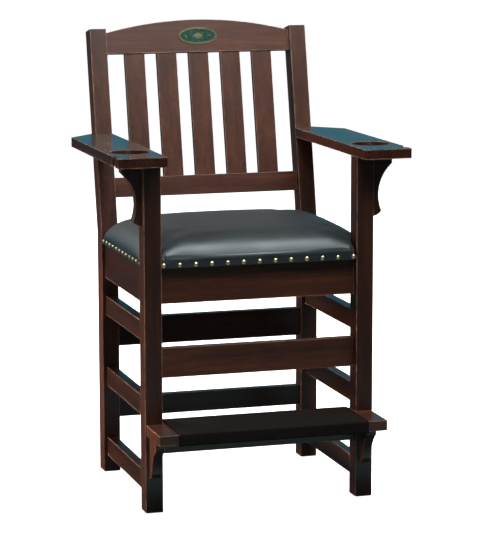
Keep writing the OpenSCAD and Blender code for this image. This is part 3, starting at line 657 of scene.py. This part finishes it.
# The form is cut off level with the board's underside and hollowed to go over the board
def carve_board_recess(form):
    choose(form)
    bpy.ops.object.mode_set(mode="EDIT")
    bpy.ops.mesh.select_all(action="SELECT")
    bpy.ops.mesh.bisect(plane_co=board_low, plane_no=(0, 0, 1), clear_inner=True)
    bpy.ops.mesh.select_mode(type="EDGE")
    bpy.ops.mesh.select_all(action="DESELECT")
    bpy.ops.mesh.select_non_manifold()
    bpy.ops.mesh.extrude_edges_move(TRANSFORM_OT_translate={"value": (0, 0, 0)})
    bpy.ops.object.mode_set(mode="OBJECT")
    let_out([v for v in form.data.vertices if v.select], -leather_proud)
    bpy.ops.object.mode_set(mode="EDIT")
    bpy.ops.mesh.extrude_edges_move(
        TRANSFORM_OT_translate={"value": (0, 0, board_high.z - board_low.z + recess_gap)}
    )
    bpy.ops.mesh.edge_face_add()
    bpy.ops.object.mode_set(mode="OBJECT")


make_cushion()

# Studio: a pale floor that lights nothing, soft lights, and a white surround that only the
# camera sees. Reflections see a dark room with a teal band over the horizon behind the chair.
floor_size = 60
sky_bands = [
    (0.30, (0.008, 0.030, 0.035)),
    (0.49, (0.012, 0.055, 0.068)),
    (0.56, (0.030, 0.34, 0.47)),
    (0.72, (0.05, 0.08, 0.09)),
]
front_sky = (0.006, 0.009, 0.010)
front_ground = (0.055, 0.075, 0.082)


def lay_floor():
    bpy.ops.object.select_all(action="DESELECT")
    bpy.ops.mesh.primitive_plane_add(size=floor_size, location=(0, 0, 0))
    floor = bpy.context.object
    floor.name = "floor"
    finish, tree, shader = new_finish("pale_floor")
    mottle = noise_at(tree, pattern_space(tree), 3, detail=3, roughness=0.5)
    tint = ramp(tree, mottle, [(0.3, grey(0.92)), (0.7, grey(0.94))])
    tree.links.new(tint, shader.inputs["Base Color"])
    shader.inputs["Roughness"].default_value = 0.9
    shader.inputs["Specular IOR Level"].default_value = 0.1
    shader.inputs["Emission Color"].default_value = (1, 1, 1, 1)
    shader.inputs["Emission Strength"].default_value = 1.0
    dress(floor, finish)
    floor.visible_diffuse = False
    floor.visible_glossy = False


def surround():
    world = bpy.data.worlds.new("studio")
    bpy.context.scene.world = world
    world.use_nodes = True
    tree = world.node_tree
    tree.nodes.clear()
    out = tree.nodes.new("ShaderNodeOutputWorld")
    glow = tree.nodes.new("ShaderNodeBackground")
    way = tree.nodes.new("ShaderNodeSeparateXYZ")
    direction = tree.nodes.new("ShaderNodeTexCoord")
    tree.links.new(direction.outputs["Generated"], way.inputs["Vector"])
    level = spread_to(tree, way.outputs["Z"], 0, 1, from_low=-1, from_high=1)
    behind = spread_to(tree, way.outputs["Y"], 0, 1, from_low=-0.3, from_high=0.6)
    below = spread_to(tree, way.outputs["Z"], 0, 1, from_low=0.05, from_high=-0.15)
    sky = ramp(tree, level, sky_bands)
    front = mix_colour(tree, below, front_sky, front_ground)
    tree.links.new(mix_colour(tree, behind, front, sky), glow.inputs["Color"])
    glow.inputs["Strength"].default_value = 1.0
    white = tree.nodes.new("ShaderNodeBackground")
    white.inputs["Strength"].default_value = 1.0
    seen = tree.nodes.new("ShaderNodeLightPath")
    pick = tree.nodes.new("ShaderNodeMixShader")
    tree.links.new(seen.outputs["Is Camera Ray"], pick.inputs["Fac"])
    tree.links.new(glow.outputs[0], pick.inputs[1])
    tree.links.new(white.outputs[0], pick.inputs[2])
    tree.links.new(pick.outputs[0], out.inputs["Surface"])


# A light without reflections only lights, and one with nothing but reflections is a sheen
def soft_light(name, place, look_at, size, watts, tint, lights=True, reflects=True, spread=180):
    lamp = bpy.data.lights.new(name, "AREA")
    lamp.shape = "RECTANGLE"
    lamp.size, lamp.size_y = size
    lamp.energy = watts
    lamp.color = tint
    lamp.spread = math.radians(spread)
    piece = bpy.data.objects.new(name, lamp)
    bpy.context.collection.objects.link(piece)
    piece.visible_camera = False
    piece.visible_diffuse = lights
    piece.visible_glossy = reflects
    piece.location = place
    piece.rotation_euler = (Vector(look_at) - Vector(place)).to_track_quat("-Z", "Y").to_euler()


lay_floor()
surround()

# Each light's place, what it points at, its width and height, its watts and its tint
warm_white = (1.0, 0.97, 0.94)
soft_light("overhead_soft", (0.35, -1.15, 2.7), (0.05, 0, 0.8), (2.0, 1.1), 82, (1.0, 0.98, 0.96))
soft_light("front_soft", (-1.2, -5.4, 2.0), (0, 0, 0.7), (3.0, 1.6), 12, warm_white)
soft_light(
    "left_soft", (-4.0, 0.5, 1.7), (0, 0, 0.9), (1.2, 1.8), 120, (1.0, 0.89, 0.80), reflects=False
)
soft_light(
    "left_low", (-3.4, 0.1, 0.15), (0, 0, 0.25), (1.0, 0.4), 9, (1.0, 0.86, 0.76),
    reflects=False, spread=30,
)
soft_light(
    "left_sheen", (-2.4, 2.2, 3.0), (-0.3, 0, 0.65), (1.1, 1.1), 75, (1.0, 0.97, 0.90),
    lights=False,
)
soft_light("right_soft", (4.4, 0.6, 1.9), (0, 0, 0.7), (1.8, 2.2), 190, warm_white, reflects=False)
soft_light("rear_soft", (0.4, 4.6, 3.4), (0, 0, 0.7), (3.0, 1.6), 230, warm_white, reflects=False)
soft_light(
    "back_sheen", (2.0, -6.4, 3.0), (0, 0.2, 1.0), (3.4, 1.6), 2, (1.0, 0.90, 0.86), lights=False
)
soft_light(
    "floor_sheen", (-0.2, -0.75, 0.01), (-0.2, -0.75, 1.0), (1.8, 0.7), 2.2, (0.55, 0.95, 1.0),
    lights=False,
)
bpy.context.scene.view_settings.view_transform = "Standard"
